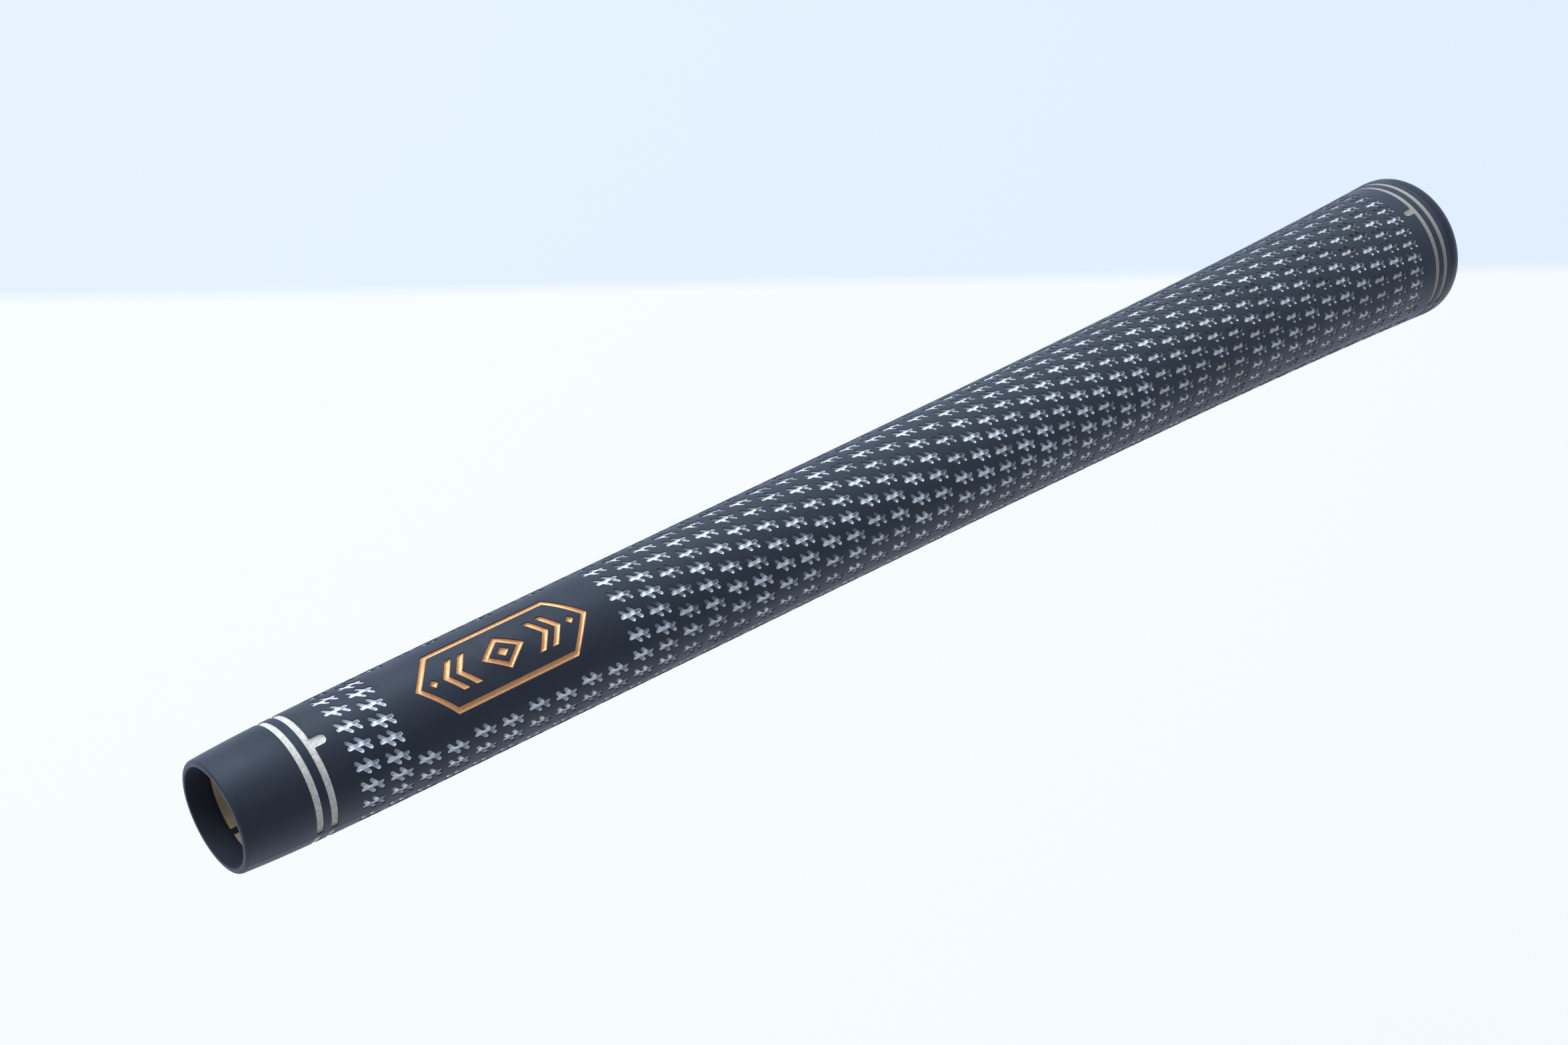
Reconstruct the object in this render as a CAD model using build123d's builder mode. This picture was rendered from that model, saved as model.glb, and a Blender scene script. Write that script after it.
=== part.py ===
from build123d import *
from math import degrees, exp
import os

os.makedirs("parts", exist_ok=True)

# A moulded rubber golf grip.  Millimetres.
# The origin is the centre of the open mouth, where the shaft goes in.
# +X runs along the bore to the butt end, +Z points through the marked side,
# and the mould's parting plane is XY.

# Driving dimensions
LENGTH = 259.0
SHAFT_RADIUS = 7.62          # a 0.600 inch steel shaft butt
TAPE_THICKNESS = 0.13
TAPE_SEAM = 1.0              # gap left where the wrapped tape meets itself
TAPE_START = 4.0
TAPE_END = 254.0

# Outer shape: a slow taper, pulled in at the mouth and flared at the butt
BODY_RADIUS = 9.25
TAPER = 0.0082               # radius gained for each millimetre of length
MOUTH_DROP = 0.73
MOUTH_RUN = 9.0
FLARE = 2.43
FLARE_POWER = 4.95

LIP_LENGTH = 3.5             # stretch of rubber that seals straight on the shaft
LIP_ROUND = 0.55

# Pre-moulded butt cap with a skirt that the sleeve is moulded around
CAP_START = 255.0
CAP_ROUND = 3.0
CAP_DISC = 4.5
SKIRT_LENGTH = 12.0
SKIRT_RADIUS = 11.0
VENT_RADIUS = 1.5
VENT_SINK = 0.5
CAP_RING_RADIUS = 6.5
CAP_RING_WIDTH = 0.8
CAP_RING_DEPTH = 0.4

# Sunk marks and the paint that lies in them
MARK_DEPTH = 0.5
PAINT_THICKNESS = 0.12
RING_WIDTH = 1.15
RING_GAP = 0.9               # plain rubber between a ring's two arcs at a parting line
MOUTH_RING_FRONT_X = 11.3
MOUTH_RING_REAR_X = 13.6
BUTT_RING_FRONT_X = 251.3
BUTT_RING_REAR_X = 253.5
MOUTH_INDEX_WIDTH = 1.7
MOUTH_INDEX_REACH = 2.75     # from the ring's centre line to the index mark's tip
BUTT_INDEX_WIDTH = 1.5
BUTT_INDEX_REACH = 2.65

# The emblem: a six-sided frame with a lozenge, two chevron pairs and two studs
EMBLEM_X = 45.9
EMBLEM_LENGTH = 30.0
EMBLEM_WIDTH = 10.6
EMBLEM_SHOULDER = 21.0       # length of the frame's straight sides
EMBLEM_STROKE = 0.9
LOZENGE_LENGTH = 7.6
LOZENGE_WIDTH = 5.8
LOZENGE_CORE = 0.3           # the core's size against the lozenge
CHEVRON_OFFSETS = (4.9, 7.1)
CHEVRON_STROKE = 1.2         # measured along the grip
CHEVRON_DEPTH = 2.0
CHEVRON_HALF_WIDTH = 2.7
STUD_OFFSET = 11.8
STUD_LENGTH = 1.6
STUD_WIDTH = 1.5

TAPE_RADIUS = SHAFT_RADIUS + TAPE_THICKNESS
BORE_END = LENGTH - CAP_DISC
SKIRT_START = CAP_START - SKIRT_LENGTH
OVERSIZE = 1.0               # how far a cutting tool stands out of the surface


def grip_radius(x):
    """Outer radius at a distance from the mouth."""
    mouth = MOUTH_DROP * exp(-x / MOUTH_RUN)
    flare = FLARE * (x / LENGTH) ** FLARE_POWER
    return BODY_RADIUS + TAPER * x - mouth + flare


def outline(start, end, raised=0.0, steps=16):
    """Points along the outer surface, closer together near the mouth."""
    points = []
    for step in range(steps + 1):
        x = start + (end - start) * (step / steps) ** 1.5
        points.append((x, grip_radius(x) + raised))
    return points


def layer(bottom, top):
    """A skin over the whole grip, between two heights from the surface."""
    with BuildPart() as skin:
        with BuildSketch(Plane.XY):
            with BuildLine():
                low = Spline(*outline(0, CAP_START, bottom))
                high = Spline(*outline(0, CAP_START, top))
                Line(low @ 0, high @ 0)
                Line(low @ 1, high @ 1)
            make_face()
        revolve(axis=Axis.X)
    return skin.part


def ring_groove(x):
    """Tool for one ring: two arcs with round ends, a gap at each parting line."""
    radius = grip_radius(x)
    margin = degrees((RING_GAP + RING_WIDTH) / (2 * radius))
    span = 180 - 2 * margin
    with BuildPart() as groove:
        for start in (margin, 180 + margin):
            with BuildSketch(Plane.XY.rotated((start, 0, 0))):
                with Locations((x, radius)):
                    Rectangle(RING_WIDTH, 4 * OVERSIZE)
            revolve(axis=Axis.X, revolution_arc=span)
            for end in (start, start + span):
                side = Plane.XY.rotated((end - 90, 0, 0))
                with BuildSketch(side.offset(radius - 2 * OVERSIZE)):
                    with Locations((x, 0)):
                        Circle(RING_WIDTH / 2)
                extrude(amount=4 * OVERSIZE)
    return groove.part


def index_groove(x, straight, width):
    """Tool for the round-ended mark beside a ring, from its straight part's length."""
    with BuildPart() as groove:
        with BuildSketch(Plane.XY.offset(SHAFT_RADIUS)):
            with Locations((x + straight / 2, 0)):
                Rectangle(abs(straight), width)
            with Locations((x + straight, 0)):
                Circle(width / 2)
        extrude(amount=grip_radius(x) + OVERSIZE - SHAFT_RADIUS)
    return groove.part


def raise_emblem(sketch):
    """Tool for an emblem element: its sketch, raised through the surface."""
    with BuildPart() as tool:
        with BuildSketch(Plane.XY.offset(grip_radius(EMBLEM_X) / 2)):
            with Locations((EMBLEM_X, 0)):
                add(sketch)
        extrude(amount=grip_radius(EMBLEM_X) / 2 + OVERSIZE)
    return tool.part


def lozenge(length, width):
    """Corners of a lozenge about the origin."""
    return [(-length / 2, 0), (0, width / 2), (length / 2, 0), (0, -width / 2)]


# Emblem outlines, flat, about the emblem's centre
with BuildSketch() as frame_outline:
    Polygon(
        (-EMBLEM_LENGTH / 2, 0),
        (-EMBLEM_SHOULDER / 2, EMBLEM_WIDTH / 2),
        (EMBLEM_SHOULDER / 2, EMBLEM_WIDTH / 2),
        (EMBLEM_LENGTH / 2, 0),
        (EMBLEM_SHOULDER / 2, -EMBLEM_WIDTH / 2),
        (-EMBLEM_SHOULDER / 2, -EMBLEM_WIDTH / 2),
        align=None,
    )
    offset(amount=-EMBLEM_STROKE, kind=Kind.INTERSECTION, mode=Mode.SUBTRACT)

with BuildSketch() as lozenge_outline:
    Polygon(*lozenge(LOZENGE_LENGTH, LOZENGE_WIDTH), align=None)
    offset(amount=-EMBLEM_STROKE, kind=Kind.INTERSECTION, mode=Mode.SUBTRACT)
    Polygon(*lozenge(LOZENGE_CORE * LOZENGE_LENGTH, LOZENGE_CORE * LOZENGE_WIDTH), align=None)

with BuildSketch() as chevron_outline:
    for side in (-1, 1):
        for inner in CHEVRON_OFFSETS:
            root = side * inner
            tip = side * (inner + CHEVRON_DEPTH)
            stroke = side * CHEVRON_STROKE
            Polygon(
                (root, CHEVRON_HALF_WIDTH),
                (tip, 0),
                (root, -CHEVRON_HALF_WIDTH),
                (root + stroke, -CHEVRON_HALF_WIDTH),
                (tip + stroke, 0),
                (root + stroke, CHEVRON_HALF_WIDTH),
                align=None,
            )
        with Locations((side * STUD_OFFSET, 0)):
            Polygon(*lozenge(STUD_LENGTH, STUD_WIDTH), align=None)

# Tools for the sunk marks
mouth_front_tool = ring_groove(MOUTH_RING_FRONT_X)
mouth_straight = MOUTH_INDEX_REACH - MOUTH_INDEX_WIDTH / 2
mouth_index_tool = index_groove(MOUTH_RING_REAR_X, mouth_straight, MOUTH_INDEX_WIDTH)
mouth_rear_tool = ring_groove(MOUTH_RING_REAR_X) + mouth_index_tool
butt_straight = BUTT_INDEX_REACH - BUTT_INDEX_WIDTH / 2
butt_index_tool = index_groove(BUTT_RING_FRONT_X, -butt_straight, BUTT_INDEX_WIDTH)
butt_front_tool = ring_groove(BUTT_RING_FRONT_X) + butt_index_tool
butt_rear_tool = ring_groove(BUTT_RING_REAR_X)
frame_tool = raise_emblem(frame_outline.sketch)
lozenge_tool = raise_emblem(lozenge_outline.sketch)
chevron_tool = raise_emblem(chevron_outline.sketch)

# Grooves are cut down to one floor, and the paint lies on that floor
groove_zone = layer(-MARK_DEPTH, 2 * OVERSIZE)
paint_layer = layer(-MARK_DEPTH, PAINT_THICKNESS - MARK_DEPTH)

with BuildPart() as mouth_ring_front_paint:
    add(mouth_front_tool)
    add(paint_layer, mode=Mode.INTERSECT)

with BuildPart() as mouth_ring_rear_paint:
    add(mouth_rear_tool)
    add(paint_layer, mode=Mode.INTERSECT)

with BuildPart() as butt_ring_front_paint:
    add(butt_front_tool)
    add(paint_layer, mode=Mode.INTERSECT)

with BuildPart() as butt_ring_rear_paint:
    add(butt_rear_tool)
    add(paint_layer, mode=Mode.INTERSECT)

with BuildPart() as emblem_frame_paint:
    add(frame_tool)
    add(paint_layer, mode=Mode.INTERSECT)

with BuildPart() as emblem_lozenge_paint:
    add(lozenge_tool)
    add(paint_layer, mode=Mode.INTERSECT)

with BuildPart() as emblem_chevron_paint:
    add(chevron_tool)
    add(paint_layer, mode=Mode.INTERSECT)

# Everything that is sunk into the sleeve
with BuildPart() as grooves:
    add(mouth_front_tool)
    add(mouth_rear_tool)
    add(butt_front_tool)
    add(butt_rear_tool)
    add(frame_tool)
    add(lozenge_tool)
    add(chevron_tool)
    add(groove_zone, mode=Mode.INTERSECT)

# The rubber sleeve: a tapered tube with a sealing lip at the mouth and a
# socket at the butt that holds the cap's skirt
with BuildPart() as grip_sleeve:
    with BuildSketch(Plane.XY):
        with BuildLine():
            outer = Spline(*outline(0, CAP_START))
            Polyline(
                outer @ 1,
                (CAP_START, SKIRT_RADIUS),
                (SKIRT_START, SKIRT_RADIUS),
                (SKIRT_START, TAPE_RADIUS),
                (LIP_LENGTH, TAPE_RADIUS),
                (LIP_LENGTH, SHAFT_RADIUS),
                (0, SHAFT_RADIUS),
                outer @ 0,
            )
        make_face()
    revolve(axis=Axis.X)
    mouth_face = faces().sort_by(Axis.X)[0]
    fillet(mouth_face.edges().sort_by(SortBy.RADIUS)[-1], LIP_ROUND)
    add(grooves, mode=Mode.SUBTRACT)

# The harder pre-moulded cap: a disc with a rounded rim, a vent, and a skirt
with BuildPart() as butt_cap:
    with BuildSketch(Plane.XY):
        with BuildLine():
            Polyline(
                (LENGTH, 0),
                (LENGTH, grip_radius(LENGTH - CAP_ROUND)),
                (CAP_START, grip_radius(CAP_START)),
                (CAP_START, SKIRT_RADIUS),
                (SKIRT_START, SKIRT_RADIUS),
                (SKIRT_START, TAPE_RADIUS),
                (BORE_END, TAPE_RADIUS),
                (BORE_END, 0),
                close=True,
            )
        make_face()
    revolve(axis=Axis.X)
    end_face = faces().sort_by(Axis.X)[-1]
    fillet(end_face.edges(), CAP_ROUND)
    with BuildSketch(Plane.YZ.offset(LENGTH)):
        Circle(CAP_RING_RADIUS + CAP_RING_WIDTH / 2)
        Circle(CAP_RING_RADIUS - CAP_RING_WIDTH / 2, mode=Mode.SUBTRACT)
    extrude(amount=-CAP_RING_DEPTH, mode=Mode.SUBTRACT)
    with Locations(Plane.YZ.offset(LENGTH)):
        CounterSinkHole(VENT_RADIUS, VENT_RADIUS + VENT_SINK, CAP_DISC)

# The double-sided tape on the shaft, wrapped once, with its seam underneath
with BuildPart() as grip_tape:
    with BuildSketch(Plane.YZ.offset(TAPE_START)):
        Circle(TAPE_RADIUS)
        Circle(SHAFT_RADIUS, mode=Mode.SUBTRACT)
        with Locations((0, -SHAFT_RADIUS)):
            Rectangle(TAPE_SEAM, SHAFT_RADIUS, mode=Mode.SUBTRACT)
    extrude(amount=TAPE_END - TAPE_START)

grip_sleeve.part.label = "grip_sleeve"
butt_cap.part.label = "butt_cap"
grip_tape.part.label = "grip_tape"
mouth_ring_front_paint.part.label = "mouth_ring_front_paint"
mouth_ring_rear_paint.part.label = "mouth_ring_rear_paint"
butt_ring_front_paint.part.label = "butt_ring_front_paint"
butt_ring_rear_paint.part.label = "butt_ring_rear_paint"
emblem_frame_paint.part.label = "emblem_frame_paint"
emblem_lozenge_paint.part.label = "emblem_lozenge_paint"
emblem_chevron_paint.part.label = "emblem_chevron_paint"

export_step(grip_sleeve.part, "parts/grip_sleeve.step")
export_step(butt_cap.part, "parts/butt_cap.step")
export_step(grip_tape.part, "parts/grip_tape.step")
export_step(mouth_ring_front_paint.part, "parts/mouth_ring_front_paint.step")
export_step(mouth_ring_rear_paint.part, "parts/mouth_ring_rear_paint.step")
export_step(butt_ring_front_paint.part, "parts/butt_ring_front_paint.step")
export_step(butt_ring_rear_paint.part, "parts/butt_ring_rear_paint.step")
export_step(emblem_frame_paint.part, "parts/emblem_frame_paint.step")
export_step(emblem_lozenge_paint.part, "parts/emblem_lozenge_paint.step")
export_step(emblem_chevron_paint.part, "parts/emblem_chevron_paint.step")
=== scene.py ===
import random
from math import asin, atan2, cos, exp, pi, radians, sin

import bmesh
import bpy
import numpy as np
from mathutils import Matrix, Vector
from mathutils.geometry import delaunay_2d_cdt


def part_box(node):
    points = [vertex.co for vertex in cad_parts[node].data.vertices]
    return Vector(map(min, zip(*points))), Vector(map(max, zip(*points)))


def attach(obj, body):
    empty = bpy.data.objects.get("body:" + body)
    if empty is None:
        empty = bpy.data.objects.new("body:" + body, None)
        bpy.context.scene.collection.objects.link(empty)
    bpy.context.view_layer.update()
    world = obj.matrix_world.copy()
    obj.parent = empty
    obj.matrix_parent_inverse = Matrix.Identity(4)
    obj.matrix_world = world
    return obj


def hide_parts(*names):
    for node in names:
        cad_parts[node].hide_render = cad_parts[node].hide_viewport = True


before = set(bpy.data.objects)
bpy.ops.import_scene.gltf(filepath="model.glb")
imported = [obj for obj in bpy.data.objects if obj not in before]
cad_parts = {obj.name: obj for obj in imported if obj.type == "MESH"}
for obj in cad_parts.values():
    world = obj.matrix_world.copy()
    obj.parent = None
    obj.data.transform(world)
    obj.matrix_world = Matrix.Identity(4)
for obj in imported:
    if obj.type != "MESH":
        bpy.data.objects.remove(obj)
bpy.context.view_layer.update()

# ---------------------------------------------------------------------------
# Dimensions, in millimetres; meshes are scaled to metres as they are made
# ---------------------------------------------------------------------------
MM = 0.001


def node_box(node):
    """A CAD node's lowest and highest corners, in millimetres."""
    low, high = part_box(node)
    return np.array(low) / MM, np.array(high) / MM


SLEEVE_END = node_box("grip_sleeve")[1][0]
SOCKET_START, _, _ = node_box("butt_cap")[0]
CAP_END, BUTT_RADIUS, _ = node_box("butt_cap")[1]
TAPE_RADIUS = node_box("grip_tape")[1][1]

# The outer shape, as in the CAD sleeve: a slow taper, pulled in at the mouth and
# flared at the butt
BODY_RADIUS = 9.25
TAPER = 0.0082
MOUTH_DROP = 0.73
MOUTH_RUN = 9.0
FLARE = 2.43
FLARE_POWER = 4.95

SHAFT_RADIUS = 7.62
BORE_CHAMFER = 0.1
LIP_LENGTH = 3.5
LIP_ROUND = 0.55
COLLAR_END = 9.5
SKIRT_RADIUS = 11.0

CAP_ROUND = 3.0
CAP_EDGE = 0.08              # roundings and chamfers of the cap's smaller edges
CAP_FACE_RADII = (8.5, 4.0)  # extra circles on the flat face, outside and inside its ring
CAP_DISC = 4.5
CAP_RING_RADIUS = 6.5
CAP_RING_WIDTH = 0.8
CAP_RING_DEPTH = 0.4
VENT_RADIUS = 1.5
VENT_SINK = 0.5

RING_WIDTH = 1.15
RING_GAP = 0.9
MOUTH_RINGS = (11.3, 13.6)
BUTT_RINGS = (251.3, 253.5)
MOUTH_INDEX_WIDTH = 1.7
MOUTH_INDEX_REACH = 2.75
BUTT_INDEX_WIDTH = 1.5
BUTT_INDEX_REACH = 2.65

EMBLEM_X = 45.9
EMBLEM_LENGTH = 30.0
EMBLEM_WIDTH = 10.6
EMBLEM_SHOULDER = 21.0
EMBLEM_STROKE = 0.9
LOZENGE_LENGTH = 7.6
LOZENGE_WIDTH = 5.8
LOZENGE_CORE = 0.3           # size of the solid middle, as a part of the lozenge
CHEVRON_OFFSETS = (4.9, 7.1)
CHEVRON_STROKE = 1.2
CHEVRON_DEPTH = 2.0
CHEVRON_HALF_WIDTH = 2.7
STUD_OFFSET = 11.8
STUD_LENGTH = 1.6
STUD_WIDTH = 1.5

# Tread: columns of sunk marks, the same on both mould halves but for the panel
TREAD_START = 17.55
COLUMN_PITCH = 4.702
COLUMNS = 49
HALF_MARGIN = radians(2.25)  # kept clear of marks on each side of a parting line
# (first column, marks per half in an even column, marks per half in an odd one)
TREAD_STAGES = ((0, 9, 10), (26, 11, 12), (36, 13, 12), (47, 14, 14), (48, 15, 15))
PANEL_COLUMNS = range(2, 10)
PANEL_EDGE_MARKS = 2         # marks that stay on each edge of the emblem's panel
SLEEVE_CUTS = (19, 35)       # columns where the next length of the sleeve starts
PAINT_CUTS = (16, 28, 39)    # columns where the next piece of tread paint starts

# One tread mark: a bar along the grip, crossed by two slanted bars
MARK_HALF_WIDTH = 0.35
BAR_REACH = 1.56
CROSS_SPACING = 1.46
CROSS_RUN = 0.81
CROSS_RISE = 0.96
FULL_PITCH = 2.85            # marks set closer than this are narrowed to suit

# Angles around the grip start at -Y, pass +Z (the marked side) and end at -Y
MARKED_SIDE = pi / 2
BACK_SIDE = 3 * pi / 2

# The fine ridge that the mould's parting lines leave
SEAM_HEIGHT = 0.05
SEAM_HALF_ANGLE = radians(0.7)

# Mesh spacing
AROUND = 120
SEAM_STEPS = (radians(0.6), radians(1.5))  # extra points on each side of a parting line
GRID = 0.8                   # spacing of the skin's points
GRID_CLEARANCE = 0.25        # kept free of them around a feature
BORE_STEP = 12.0
ROUNDING_STEP = pi / 16
MARK_END_STEPS = 4
RING_STEPS = 60
RING_END_STEPS = 6
INDEX_STEPS = 8
INDEX_CLEARANCE = 0.15
EMBLEM_STEP = 0.6
WELD = 0.002                 # points closer than this become one
OUTLINE_TOLERANCE = 1e-7


def grip_radius(x):
    """Outer radius at a distance from the mouth."""
    mouth = MOUTH_DROP * exp(-x / MOUTH_RUN)
    flare = FLARE * (x / CAP_END) ** FLARE_POWER
    return BODY_RADIUS + TAPER * x - mouth + flare


def seam_rise(x, angle):
    """Height of the parting lines' ridge, which stays within the butt's radius."""
    height = min(SEAM_HEIGHT, max(0.0, BUTT_RADIUS - grip_radius(x)))
    return height * exp(-((sin(angle) / sin(SEAM_HALF_ANGLE)) ** 2))


def around(x, radius, angle):
    """A point at a distance from the axis."""
    return (x, -radius * cos(angle), radius * sin(angle))


def on_grip(x, angle, depth=0.0):
    """A point at a depth below the outer surface, whose ridge only depth 0 follows."""
    if depth:
        return around(x, grip_radius(x) - depth, angle)
    return around(x, grip_radius(x) + seam_rise(x, angle), angle)


def circle_angles():
    """Angles of a circle's mesh points, closer together at the parting lines."""
    step = 2 * pi / AROUND
    half = list(SEAM_STEPS) + [step * i for i in range(1, AROUND // 2)]
    half += [pi - s for s in reversed(SEAM_STEPS)]
    return [0.0] + half + [pi] + [pi + a for a in half]


ANGLES = circle_angles()


def steps_between(start, end, step):
    """Evenly spaced values from start to end, both included."""
    count = max(1, round(abs(end - start) / step))
    return [start + (end - start) * i / count for i in range(count + 1)]


def quarter(x, radius, size, start, end):
    """Points of a rounding in a turned section, between two directions."""
    turns = steps_between(start, end, ROUNDING_STEP)
    return [(x + size * cos(t), radius + size * sin(t)) for t in turns]


def smooth_step(value, low, high):
    """0 below low, 1 above high, with a smooth rise between them."""
    part = min(1.0, max(0.0, (value - low) / (high - low)))
    return part * part * (3 - 2 * part)


# ---------------------------------------------------------------------------
# Mesh making
# ---------------------------------------------------------------------------
class Builder:
    """Collects points and faces, in millimetres, and turns them into a piece.

    Each point has a cover, which in tread marks also holds painted highlights and painted
    shade, and each face a tone, which the paints' materials read.
    Faces of one group share their shading.
    """

    def __init__(self):
        self.points = []
        self.covers_and_light = []
        self.faces = []
        self.groups = []
        self.tones = []
        self.group = 0
        self.tone = 0.5

    def new_group(self):
        """Later faces don't share their shading with earlier ones."""
        self.group += 1

    def add_points(self, points, covers_and_light=None):
        """Adds points and gives their indices."""
        first = len(self.points)
        self.points.extend(points)
        self.covers_and_light.extend(covers_and_light or [1.0] * len(points))
        return list(range(first, len(self.points)))

    def add_face(self, face):
        self.faces.append(tuple(face))
        self.groups.append(self.group)
        self.tones.append(self.tone)

    def join_loops(self, a, b):
        """A band of faces between two closed loops with the same count."""
        for i in range(len(a)):
            j = (i + 1) % len(a)
            self.add_face((a[i], a[j], b[j], b[i]))

    def add_lathe(self, sections):
        """Turned surfaces: each section is smooth and meets the next in an edge.

        A section is a list of (x, radius) places. A radius of None means the skin's.
        """
        for section in sections:
            self.new_group()
            before = None
            for x, radius in section:
                if radius is None:
                    circle = self.add_points([on_grip(x, a) for a in ANGLES])
                else:
                    circle = self.add_points([around(x, radius, a) for a in ANGLES])
                if before:
                    self.join_loops(before, circle)
                before = circle

    def piece(self, name, material, slot, *nodes):
        """Makes the object, welds its joints, shades it and puts it on the part."""
        mesh = bpy.data.meshes.new(name)
        mesh.from_pydata((np.array(self.points) * MM).tolist(), [], self.faces)
        for label, kind, domain, values in (
            ("shade_group", "INT", "FACE", self.groups),
            ("tone", "FLOAT", "FACE", self.tones),
            ("cover_and_light", "FLOAT", "POINT", self.covers_and_light),
        ):
            mesh.attributes.new(label, kind, domain).data.foreach_set("value", values)
        work = bmesh.new()
        work.from_mesh(mesh)
        bmesh.ops.remove_doubles(work, verts=work.verts, dist=WELD * MM)
        bmesh.ops.dissolve_degenerate(work, edges=work.edges, dist=WELD * MM)
        bmesh.ops.recalc_face_normals(work, faces=work.faces)
        work.to_mesh(mesh)
        work.free()
        set_shading(mesh)
        mesh.attributes.remove(mesh.attributes["shade_group"])
        mesh.materials.append(material)
        piece = bpy.data.objects.new(name, mesh)
        bpy.context.scene.collection.objects.link(piece)
        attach(piece, "root")
        if nodes:
            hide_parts(*nodes)


def set_shading(mesh):
    """Smooth normals weighted by area, kept apart between shading groups."""
    mesh.shade_smooth()
    vertex = np.empty(len(mesh.loops), np.int32)
    mesh.loops.foreach_get("vertex_index", vertex)
    sides = np.empty(len(mesh.polygons), np.int32)
    mesh.polygons.foreach_get("loop_total", sides)
    area = np.empty(len(mesh.polygons), np.float32)
    mesh.polygons.foreach_get("area", area)
    normal = np.empty(len(mesh.polygons) * 3, np.float32)
    mesh.polygons.foreach_get("normal", normal)
    group = np.empty(len(mesh.polygons), np.int32)
    mesh.attributes["shade_group"].data.foreach_get("value", group)
    weighted = normal.reshape(-1, 3).astype(float) * area[:, None]
    key = vertex.astype(np.int64) * (int(group.max()) + 1) + np.repeat(group, sides)
    unique, inverse = np.unique(key, return_inverse=True)
    total = np.zeros((len(unique), 3))
    np.add.at(total, inverse, np.repeat(weighted, sides, axis=0))
    total /= np.maximum(np.linalg.norm(total, axis=1), 1e-20)[:, None]
    mesh.normals_split_custom_set(total[inverse].tolist())


# ---------------------------------------------------------------------------
# Outlines of sunk features. Each is a function of an inset, which gives closed
# loops of (x, angle) points, anticlockwise, always with the same counts.
# ---------------------------------------------------------------------------
def arc(centre, radius, start, end, steps):
    """Points of an arc, from one direction to another."""
    turns = [start + (end - start) * i / steps for i in range(steps + 1)]
    return [(centre[0] + radius * cos(t), centre[1] + radius * sin(t)) for t in turns]


def mark_outline(half_width):
    """One tread mark's outline, flat, for a half width of its strokes."""
    along = Vector((1, 0))
    slant = Vector((-CROSS_RUN, CROSS_RISE))
    lean = slant.normalized()
    beside = Vector((lean.y, -lean.x))
    right = along * CROSS_SPACING / 2

    def corner(centre, side, level):
        """Where a side of a slanted bar meets a side of the long bar."""
        start = centre + beside * side * half_width
        return tuple(start + lean * (level * half_width - start.y) / lean.y)

    def end(centre, direction):
        """A bar's round end."""
        turn = atan2(direction.y, direction.x)
        return arc(centre, half_width, turn - pi / 2, turn + pi / 2, MARK_END_STEPS)

    return (
        end(along * BAR_REACH, along)
        + [corner(right, 1, 1)]
        + end(right + slant, lean)
        + [corner(right, -1, 1), corner(-right, 1, 1)]
        + end(-right + slant, lean)
        + [corner(-right, -1, 1)]
        + end(-along * BAR_REACH, -along)
        + [corner(-right, -1, -1)]
        + end(-right - slant, -lean)
        + [corner(-right, 1, -1), corner(right, -1, -1)]
        + end(right - slant, -lean)
        + [corner(right, 1, -1)]
    )


def ring_arc(x, half, index=None):
    """Outline function of a ring's arc on one mould half, perhaps with an index mark.

    half is the angle at the arc's middle; index is (reach along x, width).
    """
    radius = grip_radius(x)
    margin = (RING_GAP + RING_WIDTH) / 2 / radius
    start = half - pi / 2 + margin
    end = half + pi / 2 - margin

    def let_in(points, inset, side, width):
        """Replaces the middle of one side's points by the index mark's outline."""
        reach, index_width = index
        round_half = index_width / 2 - inset
        tip = x + reach - side * index_width / 2
        clear = (index_width / 2 + INDEX_CLEARANCE) / radius
        turns = [-pi / 2 + pi * i / INDEX_STEPS for i in range(INDEX_STEPS + 1)]
        patch = [(x + side * width, half - round_half / radius)]
        patch += [
            (tip + side * round_half * cos(t), half + round_half * sin(t) / radius)
            for t in turns
        ]
        patch += [(x + side * width, half + round_half / radius)]
        before = [p for p in points if p[1] < half - clear]
        after = [p for p in points if p[1] > half + clear]
        return before + patch + after

    def loops(inset):
        width = RING_WIDTH / 2 - inset
        angles = [start + (end - start) * i / RING_STEPS for i in range(RING_STEPS + 1)]
        high = [(x + width, a) for a in angles]
        low = [(x - width, a) for a in angles]
        if index and index[0] > 0:
            high = let_in(high, inset, 1, width)
        if index and index[0] < 0:
            low = let_in(low, inset, -1, width)
        turns = [pi * i / RING_END_STEPS for i in range(1, RING_END_STEPS)]
        far = [(x + width * cos(t), end + width * sin(t) / radius) for t in turns]
        near = [(x - width * cos(t), start - width * sin(t) / radius) for t in turns]
        return [high + far + low[::-1] + near]

    return loops


def anticlockwise(corners):
    """The same polygon, turned the right way."""
    twice_area = 0.0
    for a, b in zip(corners, corners[1:] + corners[:1]):
        twice_area += a[0] * b[1] - b[0] * a[1]
    return corners if twice_area > 0 else corners[::-1]


def inset_polygon(corners, inset):
    """An anticlockwise polygon with every side moved inwards."""
    moved = []
    for i, corner in enumerate(corners):
        before = (Vector(corner) - Vector(corners[i - 1])).normalized()
        after = (Vector(corners[(i + 1) % len(corners)]) - Vector(corner)).normalized()
        inward = Vector((-before.y - after.y, before.x + after.x)) / (1 + before.dot(after))
        moved.append(tuple(Vector(corner) + inward * inset))
    return moved


def divided(corners, counts):
    """A polygon's outline with each side cut into a number of pieces."""
    points = []
    for i, count in enumerate(counts):
        a = Vector(corners[i])
        b = Vector(corners[(i + 1) % len(corners)])
        points += [tuple(a.lerp(b, step / count)) for step in range(count)]
    return points


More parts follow.
